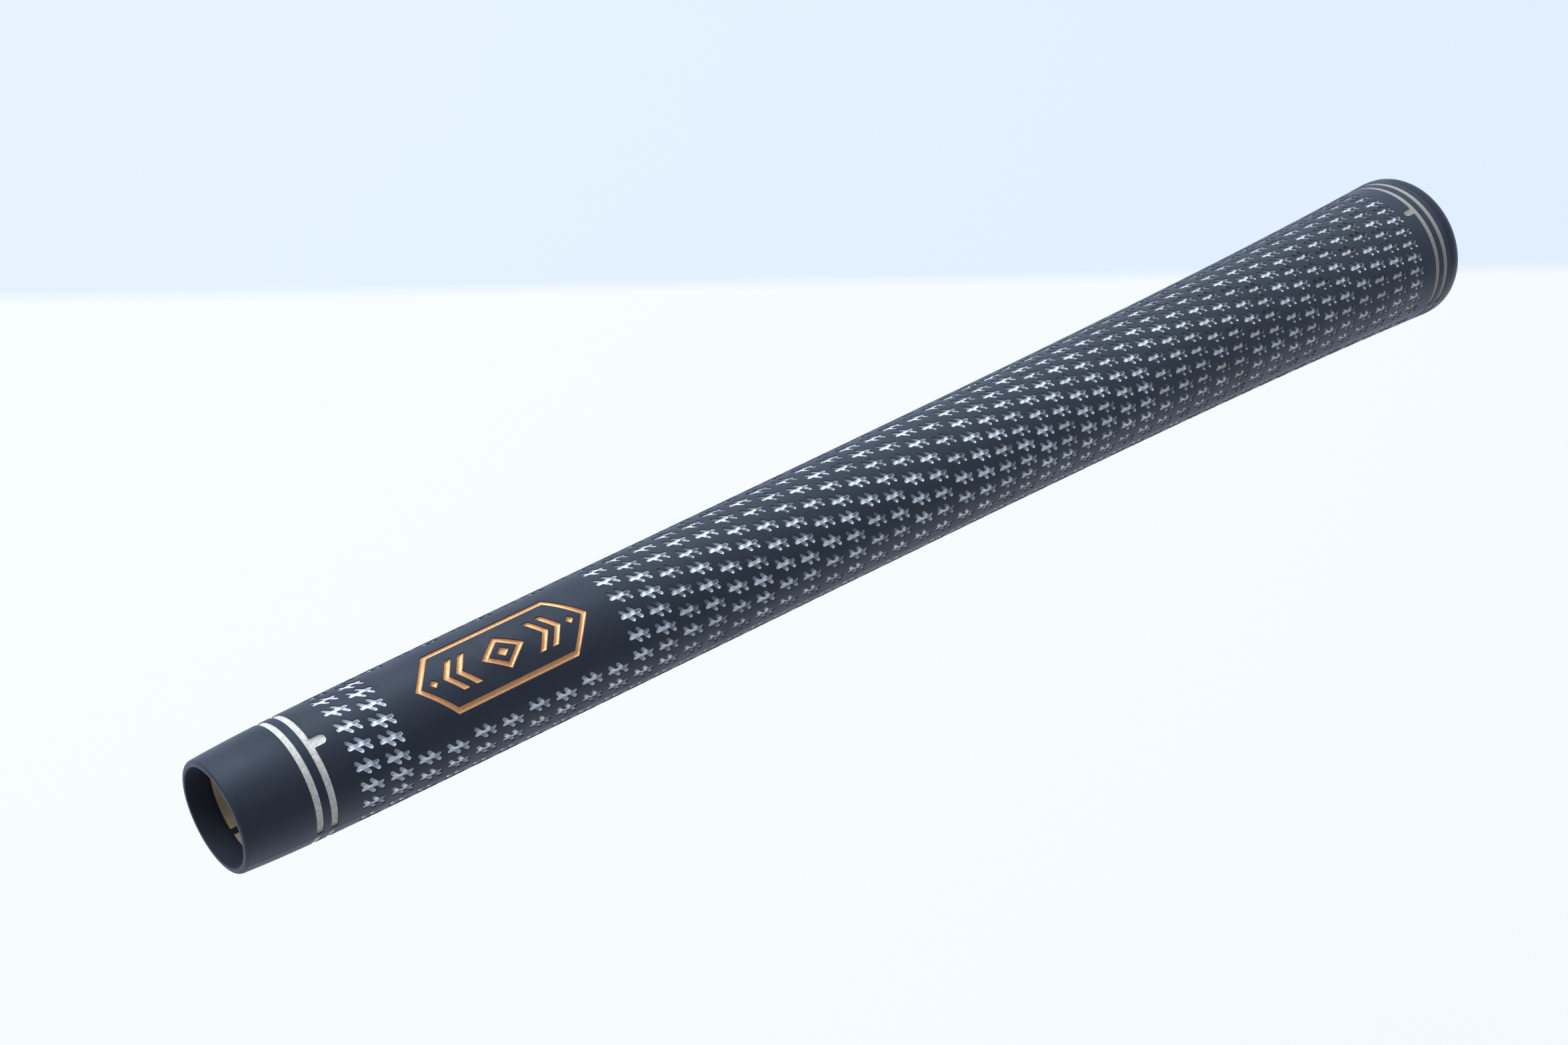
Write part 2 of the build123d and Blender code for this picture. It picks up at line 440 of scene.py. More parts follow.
def emblem_shape(outer, hole=None):
    """Outline function of an emblem element, from its flat corners."""

    def wrapped(corners, inset):
        counts = []
        for a, b in zip(corners, corners[1:] + corners[:1]):
            counts.append(max(1, round((Vector(b) - Vector(a)).length / EMBLEM_STEP)))
        points = []
        for u, v in divided(inset_polygon(corners, inset), counts):
            x = EMBLEM_X + u
            points.append((x, MARKED_SIDE + asin(v / grip_radius(x))))
        return points

    def loops(inset):
        result = [wrapped(outer, inset)]
        if hole:
            result.append(wrapped(hole, -inset))
        return result

    return loops


def lozenge(length, width, centre=0.0):
    """Corners of a lozenge."""
    far, side = length / 2, width / 2
    return [(centre + far, 0), (centre, side), (centre - far, 0), (centre, -side)]


# ---------------------------------------------------------------------------
# Sunk features: sections as (inset, depth) rows. The rubber's pocket comes
# first, then the paint film, whose edge and underside lie inside the rubber.
# ---------------------------------------------------------------------------
MARK_POCKET = ((0.0, 0.0), (0.03, 0.03), (0.05, 0.12), (0.08, 0.56))
RING_POCKET = ((0.0, 0.0), (0.04, 0.03), (0.08, 0.2), (0.12, 0.5))
RING_FILM = ((0.062, 0.14), (0.12, 0.24), (0.26, 0.31))
EMBLEM_POCKET = ((0.0, 0.0), (0.035, 0.03), (0.07, 0.2), (0.1, 0.5))
EMBLEM_FILM = ((0.065, 0.17), (0.12, 0.29), (0.22, 0.38), (0.36, 0.42))
FILM_BURIED = 0.08


def inside_faces(points, loops):
    """Triangles over flat points, each with the number of loops it lies within."""
    faces = []
    first = len(points) - sum(len(loop) for loop in loops)
    for loop in loops:
        faces.append(list(range(first, first + len(loop))))
        first += len(loop)
    flat = [Vector(p) for p in points]
    made, _, triangles, source, _, within = delaunay_2d_cdt(
        flat, [], faces, 0, OUTLINE_TOLERANCE
    )
    if len(made) != len(points):
        raise ValueError("outlines cross or touch")
    for triangle, loops_around in zip(triangles, within):
        yield [source[i][0] for i in triangle], len(loops_around)


class Feature:
    """A sunk feature: its outline function, and its pocket's and film's sections."""

    fills = {}  # triangle layouts that features of one kind share

    def __init__(self, loops, pocket, film, kind=None):
        self.loops = loops
        self.pocket = pocket
        self.film = film
        self.kind = kind
        self.tone = 0.5

    def add_row(self, builder, inset, depth):
        """The outline's loops, as points at an inset and a depth."""
        return [
            builder.add_points([on_grip(x, a, depth) for x, a in loop])
            for loop in self.loops(inset)
        ]

    def add_section(self, builder, rows, row):
        """Bands from a first row of points down through the others."""
        for inset, depth in rows:
            below = self.add_row(builder, inset, depth)
            for a, b in zip(row, below):
                builder.join_loops(a, b)
            row = below
        return row

    def add_fill(self, builder, row, inset):
        """Triangles over the outline, between the points of a row."""
        key = (self.kind, inset)
        if self.kind is None or key not in Feature.fills:
            loops = self.loops(inset)
            scale = grip_radius(loops[0][0][0])
            loops = [[(x, a * scale) for x, a in loop] for loop in loops]
            points = [p for loop in loops for p in loop]
            Feature.fills[key] = [f for f, n in inside_faces(points, loops) if n == 1]
        flat = [index for loop in row for index in loop]
        for face in Feature.fills[key]:
            builder.add_face([flat[i] for i in face])

    def sink(self, builder, rim):
        """The pocket's walls and floor, below a rim that the skin already has."""
        row = self.add_section(builder, self.pocket[1:], rim)
        self.add_fill(builder, row, self.pocket[-1][0])

    def coat(self, builder):
        """The paint film: a closed solid, hollow on top."""
        builder.tone = self.tone
        inset, depth = self.film[0]
        rim = self.add_row(builder, inset, depth)
        row = self.add_section(builder, self.film[1:], rim)
        self.add_fill(builder, row, self.film[-1][0])
        builder.new_group()
        base = self.add_section(builder, [(inset, self.pocket[-1][1] + FILM_BURIED)], rim)
        self.add_fill(builder, base, inset)
        builder.group = 0


def compare(points, outline):
    """Which flat points lie within an outline, and how far each is from its line."""
    a = np.array(outline)
    b = np.roll(a, -1, axis=0)
    side = b - a
    offset = points[:, None] - a
    along = np.clip((offset * side).sum(2) / (side * side).sum(1), 0, 1)
    gap = np.linalg.norm(offset - along[..., None] * side, axis=2).min(1)
    straddles = (a[:, 1] > points[:, None, 1]) != (b[:, 1] > points[:, None, 1])
    rise = np.where(side[:, 1] == 0, 1, side[:, 1])
    crossing = a[:, 0] + offset[..., 1] * side[:, 0] / rise
    inside = (straddles & (crossing > points[:, None, 0])).sum(1) % 2 == 1
    return inside, gap


class TreadMark(Feature):
    """A tread mark, at a place along and around the grip, narrowed by its squeeze."""

    def __init__(self, x, angle, squeeze):
        self.x = x
        self.angle = angle
        self.squeeze = squeeze
        super().__init__(self.outline, MARK_POCKET, None, kind="mark")

    def outline(self, inset):
        """The mark's outline function."""
        flat = mark_outline(MARK_HALF_WIDTH - inset)
        turn = self.squeeze / grip_radius(self.x)
        return [[(self.x + u, self.angle + turn * v) for u, v in flat]]


def clear_of(points, loops, scale):
    """The flat points that lie outside every loop and not close to one."""
    keep = np.ones(len(points), bool)
    for loop in loops:
        outline = np.array(loop) * (1, scale)
        low = outline.min(0) - GRID_CLEARANCE
        high = outline.max(0) + GRID_CLEARANCE
        near = np.flatnonzero(((points > low) & (points < high)).all(1))
        if len(near):
            inside, gap = compare(points[near], outline)
            keep[near[inside | (gap < GRID_CLEARANCE)]] = False
    return points[keep]


# The paint in a tread mark lies as the mark was cut: two deep round grooves across
# a shallower one, whose end towards the butt is deep too.
FILM_INSET = 0.032
FILM_RIM_DEPTH = 0.11
FILM_BASE_DEPTH = 0.62
FILM_GRID = 0.145
FILM_EDGE_GAP = 0.06         # kept free of the grid's points along the outline
BAR_DEPTH = 0.2
BAR_POWER = 0.4              # of a groove's round section: a low power is a flat floor
BAR_END_DEPTH = 0.42
BAR_END = (0.75, 1.1)        # the stretch along the mark where the bar deepens
CROSS_DEPTH = 0.36
CROSS_POWER = 0.6
CROSS_START = (0.1, 0.5)     # how far from the bar's middle the crossing bars deepen

# Paint covers the shallow bar best; the rims and one side's tips get painted highlights,
# and the depths and the far side's rims painted shade
BAR_COVER = 1.1
BAR_EDGE = (0.9, 1.15)       # where the bar's cover ends, in half widths
RIM_COVER_AND_HIGHLIGHT = 0.9
RIM_POWER = 3
FAR_RIM_SHADE = 0.6           # how much painted shade darkens the rims on the far side
FAR_SIDE = (0.1, 0.7)
TIP_HIGHLIGHT = 0.95
TIP_START = (0.75, 1.05)
LEAST_COVER_IN_SHADE = 0.22


def nearness(point, start, end):
    """Distance from a stroke's middle line, as a fraction of its half width."""
    line = end - start
    along = max(0.0, min(1.0, (point - start).dot(line) / line.length_squared))
    return (point - start - line * along).length / (MARK_HALF_WIDTH - FILM_INSET)


def film_point(u, v):
    """Depth of the paint at a place in a mark, and its cover with painted highlights and
    painted shade.
    """
    point = Vector((u, v))
    along = Vector((BAR_REACH, 0))
    slant = Vector((-CROSS_RUN, CROSS_RISE))
    centre = Vector((CROSS_SPACING / 2, 0))
    bar = nearness(point, -along, along)
    cross = min(nearness(point, c - slant, c + slant) for c in (centre, -centre))
    bar_end = smooth_step(u, *BAR_END)
    bar_depth = BAR_DEPTH + (BAR_END_DEPTH - BAR_DEPTH) * bar_end
    cross_depth = BAR_DEPTH + (CROSS_DEPTH - BAR_DEPTH) * smooth_step(abs(v), *CROSS_START)
    grooves = ((bar_depth, bar, BAR_POWER), (cross_depth, cross, CROSS_POWER))
    sunk = max(depth * max(0.0, 1 - q * q) ** power for depth, q, power in grooves)
    in_bar = (1 - smooth_step(bar, *BAR_EDGE)) * (1 - bar_end)
    rim = min(1.0, min(bar, cross)) ** RIM_POWER
    # Painted highlights on the rims, and painted shade on the far side's rims.
    rim_cover_and_highlight = RIM_COVER_AND_HIGHLIGHT - FAR_RIM_SHADE * smooth_step(v, *FAR_SIDE)
    # Painted highlight on the tips of one side, where the end walls face the light.
    tip = smooth_step(-v, *TIP_START)
    # The cover is least in the depths, as painted shade.
    cover_and_light = max(BAR_COVER * in_bar, rim * rim_cover_and_highlight, TIP_HIGHLIGHT * tip, LEAST_COVER_IN_SHADE)
    return FILM_RIM_DEPTH + sunk, cover_and_light


def film_layout():
    """One mark's film: flat points, their depths and covers with painted light and shade,
    top and base faces, and how many of the points, the last ones, are the outline's."""
    outline = mark_outline(MARK_HALF_WIDTH - FILM_INSET)
    reach = BAR_REACH + MARK_HALF_WIDTH
    rise = CROSS_RISE + MARK_HALF_WIDTH
    grid = []
    for row in range(-int(rise / FILM_GRID), int(rise / FILM_GRID) + 1):
        for column in range(-int(reach / FILM_GRID), int(reach / FILM_GRID) + 1):
            grid.append(((column + 0.5 * (row % 2)) * FILM_GRID, row * FILM_GRID))
    inside, gap = compare(np.array(grid), outline)
    spots = [p for p, i, g in zip(grid, inside, gap) if i and g > FILM_EDGE_GAP]
    spots += outline
    top = [face for face, count in inside_faces(spots, [outline]) if count == 1]
    base = [face for face, count in inside_faces(outline, [outline]) if count == 1]
    levels = [film_point(u, v) for u, v in spots]
    return spots, levels, top, base, len(outline)


def coat_marks(builder, marks):
    """Adds the paint films of tread marks, each a closed solid."""
    spots, levels, top, base, edge_count = film_layout()
    covers_and_light = [cover_and_light for _, cover_and_light in levels]
    for mark in marks:
        builder.tone = mark.tone
        radius = grip_radius(mark.x)
        places = [(mark.x + u, mark.angle + mark.squeeze * v / radius) for u, v in spots]
        upper = [on_grip(x, a, depth) for (x, a), (depth, _) in zip(places, levels)]
        lower = [on_grip(x, a, FILM_BASE_DEPTH) for x, a in places[-edge_count:]]
        upper = builder.add_points(upper, covers_and_light)
        lower = builder.add_points(lower)
        builder.group = 0
        for face in top:
            builder.add_face([upper[i] for i in face])
        builder.group = 1
        builder.join_loops(upper[-edge_count:], lower)
        for face in base:
            builder.add_face([lower[i] for i in face])


def add_skin(builder, start, end, features):
    """The outer skin between two circles, with its features sunk into it."""
    scale = grip_radius((start + end) / 2)
    turn = 2 * pi
    steps = max(2, round((end - start) / GRID))
    rows = [start + (end - start) * i / steps for i in range(steps + 1)]
    fixed = [(x, a) for x in (rows[0], rows[-1]) for a in ANGLES + [turn]]
    for x in rows[1:-1]:
        beside = [0.0] + list(SEAM_STEPS)
        fixed += [(x, a) for a in beside]
        fixed += [(x, turn - a) for a in beside]
        fixed += [(x, pi + a) for a in beside]
        fixed += [(x, pi - a) for a in beside[1:]]
    columns = round(turn * scale / GRID)
    grid = []
    for i, x in enumerate(rows[1:-1]):
        shift = 0.25 + 0.5 * (i % 2)  # every other row is half a step on
        grid += [(x, turn * (j + shift) / columns * scale) for j in range(columns)]
    loops = [loop for feature in features for loop in feature.loops(0.0)]
    grid = clear_of(np.array(grid), loops, scale)
    seams = np.abs(np.sin(grid[:, 1] / scale)) * scale
    grid = grid[seams > SEAM_STEPS[-1] * scale + GRID_CLEARANCE]
    spots = fixed + [(x, v / scale) for x, v in grid.tolist()]
    spots += [p for loop in loops for p in loop]
    indices = builder.add_points([on_grip(x, a) for x, a in spots])
    flat = [(x, a * scale) for x, a in spots]
    builder.group = 0
    for face, count in inside_faces(flat, loops):
        if count % 2 == 0:
            builder.add_face([indices[i] for i in face])
    at = len(spots) - sum(len(loop) for loop in loops)
    for feature in features:
        rim = []
        for loop in feature.loops(0.0):
            rim.append(indices[at : at + len(loop)])
            at += len(loop)
        feature.sink(builder, rim)


# ---------------------------------------------------------------------------
# Features, each in its place along the grip
# ---------------------------------------------------------------------------
def column_range(column):
    """Where a tread column starts and ends."""
    start = TREAD_START + column * COLUMN_PITCH
    return start, start + COLUMN_PITCH


def tread_column(column):
    """The tread marks of one column, on both mould halves."""
    even, odd = [stage[1:] for stage in TREAD_STAGES if stage[0] <= column][-1]
    count = odd if column % 2 else even
    x = sum(column_range(column)) / 2
    pitch = (pi - 2 * HALF_MARGIN) / count
    squeeze = min(1.0, pitch * grip_radius(x) / FULL_PITCH)
    marks = []
    for side in (MARKED_SIDE, BACK_SIDE):
        for i in range(count):
            on_edge = min(i, count - 1 - i) < PANEL_EDGE_MARKS
            if column in PANEL_COLUMNS and side == MARKED_SIDE and not on_edge:
                continue
            angle = side + (i - (count - 1) / 2) * pitch
            marks.append(TreadMark(x, angle, squeeze))
    return marks


def ring(x, index=None):
    """A ring's two arcs; the marked side's may have an index mark."""
    return [
        Feature(ring_arc(x, MARKED_SIDE, index), RING_POCKET, RING_FILM),
        Feature(ring_arc(x, BACK_SIDE), RING_POCKET, RING_FILM),
    ]


def emblem_element(outer, hole=None):
    """A sunk element of the emblem, from its flat corners."""
    outer = anticlockwise(outer)
    if hole:
        hole = anticlockwise(hole)
    return Feature(emblem_shape(outer, hole), EMBLEM_POCKET, EMBLEM_FILM)


def chevron(side, inner):
    """Corners of a chevron that points away from the emblem's middle."""
    root = side * inner
    tip = side * (inner + CHEVRON_DEPTH)
    stroke = side * CHEVRON_STROKE
    half = CHEVRON_HALF_WIDTH
    return [
        (root, half),
        (tip, 0),
        (root, -half),
        (root + stroke, -half),
        (tip + stroke, 0),
        (root + stroke, half),
    ]


tread = [tread_column(column) for column in range(COLUMNS)]
mouth_front_ring = ring(MOUTH_RINGS[0])
mouth_rear_ring = ring(MOUTH_RINGS[1], (MOUTH_INDEX_REACH, MOUTH_INDEX_WIDTH))
butt_front_ring = ring(BUTT_RINGS[0], (-BUTT_INDEX_REACH, BUTT_INDEX_WIDTH))
butt_rear_ring = ring(BUTT_RINGS[1])

half_length = EMBLEM_LENGTH / 2
shoulder = EMBLEM_SHOULDER / 2
half_width = EMBLEM_WIDTH / 2
frame_corners = [
    (half_length, 0),
    (shoulder, half_width),
    (-shoulder, half_width),
    (-half_length, 0),
    (-shoulder, -half_width),
    (shoulder, -half_width),
]
lozenge_corners = lozenge(LOZENGE_LENGTH, LOZENGE_WIDTH)
core = lozenge(LOZENGE_CORE * LOZENGE_LENGTH, LOZENGE_CORE * LOZENGE_WIDTH)
emblem_frame = [emblem_element(frame_corners, inset_polygon(frame_corners, EMBLEM_STROKE))]
emblem_lozenge = [
    emblem_element(lozenge_corners, inset_polygon(lozenge_corners, EMBLEM_STROKE)),
    emblem_element(core),
]
emblem_chevrons = [
    emblem_element(chevron(side, inner)) for side in (-1, 1) for inner in CHEVRON_OFFSETS
]
emblem_chevrons += [
    emblem_element(lozenge(STUD_LENGTH, STUD_WIDTH, side * STUD_OFFSET)) for side in (-1, 1)
]


# ---------------------------------------------------------------------------
# Materials
# ---------------------------------------------------------------------------
class Surface:
    """A material with a Principled shader, and short ways to add nodes to it."""

    def __init__(self, name, **values):
        self.material = bpy.data.materials.new(name)
        self.material.use_nodes = True
        self.tree = self.material.node_tree
        self.shader = self.tree.nodes["Principled BSDF"]
        self.place = self.tree.nodes.new("ShaderNodeTexCoord").outputs["Object"]
        for socket, value in values.items():
            self.shader.inputs[socket.replace("_", " ")].default_value = value

    def add(self, kind, inputs=(), **settings):
        """A new node, with its inputs linked or set, and its settings."""
        node = self.tree.nodes.new(kind)
        for name, value in settings.items():
            setattr(node, name, value)
        for socket, value in dict(inputs).items():
            if isinstance(value, bpy.types.NodeSocket):
                self.tree.links.new(value, node.inputs[socket])
            else:
                node.inputs[socket].default_value = value
        return node

    def noise(self, size, detail, roughness, stretch=(1, 1, 1)):
        """Noise whose features are about size millimetres across."""
        place = self.add("ShaderNodeMapping", {"Vector": self.place, "Scale": stretch})
        inputs = {
            "Vector": place.outputs[0],
            "Scale": 1 / (size * MM),
            "Detail": detail,
            "Roughness": roughness,
        }
        return self.add("ShaderNodeTexNoise", inputs).outputs["Fac"]

    def fit(self, value, low, high, to_low=0.0, to_high=1.0):
        """Maps a range of a value to another, and stops at its ends."""
        inputs = {0: value, 1: low, 2: high, 3: to_low, 4: to_high}
        return self.add("ShaderNodeMapRange", inputs).outputs[0]

    def mix(self, factor, a, b):
        """A mix of two colours."""
        inputs = {0: factor, 6: a, 7: b}
        return self.add("ShaderNodeMix", inputs, data_type="RGBA").outputs[2]

    def math(self, operation, a, b):
        """The result of a Math node."""
        return self.add("ShaderNodeMath", {0: a, 1: b}, operation=operation).outputs[0]

    def bump(self, height, depth, under=None):
        """Bump of a depth in millimetres, on top of an earlier one."""
        inputs = {"Height": height, "Distance": depth * MM}
        if under:
            inputs["Normal"] = under
        return self.add("ShaderNodeBump", inputs).outputs[0]

    def drive(self, socket, value):
        """Links a value to one of the shader's sockets."""
        self.tree.links.new(value, self.shader.inputs[socket])


# Rubber: fine grain, large worn patches, specks of dust, and a paler colour that grows
# from near the mouth to the butt. Sizes and depths are in millimetres.
GRAIN_SIZE = 0.16
PATCH_SIZE = 9.0
DUST_SIZE = 0.5
PATCH_SHARE = 0.5
DUST_SHARE = 0.12
DUST_COLOUR = (0.16, 0.16, 0.17, 1)
LIGHTENING_START = 20.0
LIGHTENING_COLOUR = (0.054, 0.06, 0.073, 1)
RUBBER_BUMP = 0.02
GLOSS_SPREAD = 0.07
SHEEN_TINT = (0.55, 0.65, 1.0, 1)
SPECULAR_TINT = (0.7, 0.8, 1.0, 1)

# Paint: uneven cover and small chips, with painted shade and more chips towards the parting
# lines
COVER_SIZE = 0.55
COVER_BUMP = 0.05
CHIP_SIZE = 0.14
CHIP_BUMP = 0.025
CHIP_SOFTNESS = 0.08
SEAM_SHADE_HEIGHT = 5.5            # how far from the parting plane the painted shade ends
SEAM_SHADE_LEAST = 0.5             # the share of the paint's brightness that the painted shade leaves at a parting line
FADE_CHIPS = 0.06            # how much more it is chipped there
NEW_TONE, OLD_TONE = 0.1, 1.0
NEW_GAIN, OLD_GAIN = 0.38, -0.42  # what a new or an old paint's tone adds to its cover
FULL_COVER = 0.95

# Tape: creases across the strip, with painted shade in their hollows, and stains
TAPE_CREASE_SHADE = (0.42, 0.31, 0.17, 1)
TAPE_LIGHT = (0.68, 0.56, 0.36, 1)
CREASE_SIZE = 0.5
CREASE_BUMP = 0.08
CREASE_STRETCH = (1.0, 0.25, 0.25)
STAIN_SIZE = 6.0
STAIN_COLOUR = (0.36, 0.27, 0.15, 1)


def rubber_surface(name, dark, light, roughness, butt_lightening):
    """Moulded matt rubber, with the share of paler colour that it has at the butt."""
    surface = Surface(name, Specular_IOR_Level=0.35, Sheen_Weight=0.17, Sheen_Roughness=0.4)
    surface.shader.inputs["Sheen Tint"].default_value = SHEEN_TINT
    surface.shader.inputs["Specular Tint"].default_value = SPECULAR_TINT
    grain = surface.noise(GRAIN_SIZE, 3.0, 0.6)
    patches = surface.noise(PATCH_SIZE, 3.0, 0.55)
    dust = surface.fit(surface.noise(DUST_SIZE, 4.0, 0.7), 0.62, 0.8)
    worn = surface.fit(patches, 0.35, 0.7)
    shade = surface.mix(surface.math("MULTIPLY", worn, PATCH_SHARE), dark, light)
    # Paler towards the butt, growing from near the mouth.
    along = surface.add("ShaderNodeSeparateXYZ", {0: surface.place}).outputs["X"]
    share = surface.fit(along, LIGHTENING_START * MM, CAP_END * MM, 0.0, butt_lightening)
    shade = surface.mix(share, shade, LIGHTENING_COLOUR)
    shade = surface.mix(surface.math("MULTIPLY", dust, DUST_SHARE), shade, DUST_COLOUR)
    surface.drive("Base Color", shade)
    rough, smooth = roughness + GLOSS_SPREAD, roughness - GLOSS_SPREAD
    surface.drive("Roughness", surface.fit(patches, 0.3, 0.75, rough, smooth))
    bumps = surface.bump(grain, RUBBER_BUMP, surface.bump(patches, RUBBER_BUMP))
    surface.drive("Normal", bumps)
    return surface.material


def paint_surface(name, clean, worn, thin_and_shaded, dirt, roughness, metallic, wear):
    """Hand-filled paint: clean or worn, thin, and chipped down to dirt beyond wear; its
    cover attribute adds painted highlights and painted shade, and it has painted shade
    towards the parting plane.
    """
    surface = Surface(name, Metallic=metallic)
    tone = surface.add("ShaderNodeAttribute", attribute_name="tone").outputs["Fac"]
    # The cover attribute: paint cover, with painted highlights and painted shade in tread
    # marks.
    cover_and_painted_light = surface.add("ShaderNodeAttribute", attribute_name="cover_and_light").outputs["Fac"]
    uneven = surface.noise(COVER_SIZE, 4.0, 0.65)
    fine = surface.noise(CHIP_SIZE, 3.0, 0.6)
    height = surface.add("ShaderNodeSeparateXYZ", {0: surface.place}).outputs["Z"]
    height = surface.math("ABSOLUTE", height, 0.0)
    # Painted shade: the paints are darker towards the parting plane, and chipped more
    # there.
    seam_shade_and_chips = surface.fit(height, 0.0, SEAM_SHADE_HEIGHT * MM, SEAM_SHADE_LEAST, 1.0)
    gain = surface.fit(tone, NEW_TONE, OLD_TONE, NEW_GAIN, OLD_GAIN)
    cover_and_painted_light = surface.math("MULTIPLY", surface.math("ADD", cover_and_painted_light, gain), seam_shade_and_chips)
    worn_by = surface.fit(surface.math("ADD", uneven, tone), 0.8, 1.3)
    shade = surface.mix(worn_by, clean, worn)
    # Low cover gives the thin colour, which also serves as painted shade.
    shade = surface.mix(surface.fit(cover_and_painted_light, 0.0, FULL_COVER), thin_and_shaded, shade)
    speckle = surface.math("ADD", fine, surface.fit(seam_shade_and_chips, SEAM_SHADE_LEAST, 1.0, FADE_CHIPS, 0.0))
    chips = surface.fit(speckle, wear, wear + CHIP_SOFTNESS)
    surface.drive("Base Color", surface.mix(chips, shade, dirt))
    rougher = surface.fit(uneven, 0.3, 0.7, roughness - 0.1, roughness + 0.12)
    surface.drive("Roughness", rougher)
    bumps = surface.bump(fine, CHIP_BUMP, surface.bump(uneven, COVER_BUMP))
    surface.drive("Normal", bumps)
    return surface.material


def tape_surface():
    """Creped paper masking tape, its creases across the strip, with painted shade in their
    hollows.
    """
    surface = Surface("adhesive_tape", Specular_IOR_Level=0.3)
    crease = surface.noise(CREASE_SIZE, 4.0, 0.6, CREASE_STRETCH)
    stain = surface.noise(STAIN_SIZE, 3.0, 0.6)
    # Painted shade: the tape is darker in the creases' hollows.
    shade = surface.mix(crease, TAPE_CREASE_SHADE, TAPE_LIGHT)
    shade = surface.mix(surface.fit(stain, 0.5, 0.75), shade, STAIN_COLOUR)
    surface.drive("Base Color", shade)
    surface.drive("Roughness", surface.fit(crease, 0.3, 0.7, 0.75, 0.55))
    surface.drive("Normal", surface.bump(crease, CREASE_BUMP))
    return surface.material


sleeve_rubber = rubber_surface(
    "sleeve_rubber",
    dark=(0.021, 0.0235, 0.0305, 1),
    light=(0.0285, 0.0315, 0.0415, 1),
    roughness=0.52,
    butt_lightening=0.6,
)
cap_rubber = rubber_surface(
    "cap_rubber",
    dark=(0.012, 0.0135, 0.018, 1),
    light=(0.017, 0.019, 0.025, 1),
    roughness=0.42,
    butt_lightening=0.35,
)
tread_paint = paint_surface(
    "tread_paint",
    clean=(0.9, 0.92, 0.96, 1),
    worn=(0.55, 0.54, 0.52, 1),
    thin_and_shaded=(0.06, 0.062, 0.066, 1),
    dirt=(0.12, 0.11, 0.1, 1),
    roughness=0.34,
    metallic=0.18,
    wear=0.66,
)
ring_paint = paint_surface(
    "ring_paint",
    clean=(0.8, 0.745, 0.67, 1),
    worn=(0.44, 0.4, 0.35, 1),
    thin_and_shaded=(0.2, 0.18, 0.16, 1),
    dirt=(0.12, 0.1, 0.08, 1),
    roughness=0.5,
    metallic=0.0,
    wear=0.6,
)
emblem_paint = paint_surface(
    "emblem_paint",
    clean=(1.0, 0.53, 0.24, 1),
    worn=(0.78, 0.34, 0.13, 1),
    thin_and_shaded=(0.35, 0.14, 0.05, 1),
    dirt=(0.16, 0.07, 0.03, 1),
    roughness=0.34,
    metallic=0.5,
    wear=0.66,
)


# ---------------------------------------------------------------------------
# The sleeve, in three closed lengths, with its skin, bore, lip and socket
# ---------------------------------------------------------------------------
FIRST_CUT, SECOND_CUT = [column_range(column)[0] for column in SLEEVE_CUTS]
TREAD_END = column_range(COLUMNS - 1)[1]
PANEL_START = column_range(PANEL_COLUMNS[0])[0]
PANEL_END = column_range(PANEL_COLUMNS[-1])[1]


def bore(start, end, radius):
    """Section of a straight bore."""
    return [(x, radius) for x in steps_between(start, end, BORE_STEP)]


def cut_face(x, inner):
    """The flat ring where one length of the sleeve meets the next."""
    return [(x, inner), (x, None)]


def add_tread(builder, columns):
    """The skin of some tread columns."""
    for column in columns:
        add_skin(builder, *column_range(column), tread[column])


front = Builder()
collar = [(x, None) for x in steps_between(COLLAR_END, LIP_ROUND, GRID)]
lip_round = quarter(LIP_ROUND, grip_radius(LIP_ROUND) - LIP_ROUND, LIP_ROUND, pi / 2, pi)
mouth_radius = SHAFT_RADIUS + BORE_CHAMFER
front.add_lathe([collar])
front.group = 0  # so that the lip's rounding, added next, is in the collar's group
front.add_lathe(
    [
        [(LIP_ROUND, None)] + lip_round[1:] + [(0, mouth_radius)],
        [(0, mouth_radius), (BORE_CHAMFER, SHAFT_RADIUS)],
        [(BORE_CHAMFER, SHAFT_RADIUS), (LIP_LENGTH, SHAFT_RADIUS)],
        [(LIP_LENGTH, SHAFT_RADIUS), (LIP_LENGTH, TAPE_RADIUS)],
        bore(LIP_LENGTH, FIRST_CUT, TAPE_RADIUS),
        cut_face(FIRST_CUT, TAPE_RADIUS),
    ]
)
add_skin(front, COLLAR_END, TREAD_START, mouth_front_ring + mouth_rear_ring)
add_tread(front, range(0, PANEL_COLUMNS[0]))
panel_marks = [mark for column in PANEL_COLUMNS for mark in tread[column]]
panel_features = panel_marks + emblem_frame + emblem_lozenge + emblem_chevrons
add_skin(front, PANEL_START, PANEL_END, panel_features)
add_tread(front, range(PANEL_COLUMNS[-1] + 1, SLEEVE_CUTS[0]))

middle = Builder()
middle.add_lathe(
    [
        cut_face(FIRST_CUT, TAPE_RADIUS),
        bore(FIRST_CUT, SECOND_CUT, TAPE_RADIUS),
        cut_face(SECOND_CUT, TAPE_RADIUS),
    ]
)
add_tread(middle, range(*SLEEVE_CUTS))

rear = Builder()
rear.add_lathe(
    [
        cut_face(SECOND_CUT, TAPE_RADIUS),
        bore(SECOND_CUT, SOCKET_START, TAPE_RADIUS),
        [(SOCKET_START, TAPE_RADIUS), (SOCKET_START, SKIRT_RADIUS)],
        [(SOCKET_START, SKIRT_RADIUS), (SLEEVE_END, SKIRT_RADIUS)],
        cut_face(SLEEVE_END, SKIRT_RADIUS),
    ]
)
add_tread(rear, range(SLEEVE_CUTS[1], COLUMNS))
add_skin(rear, TREAD_END, SLEEVE_END, butt_front_ring + butt_rear_ring)

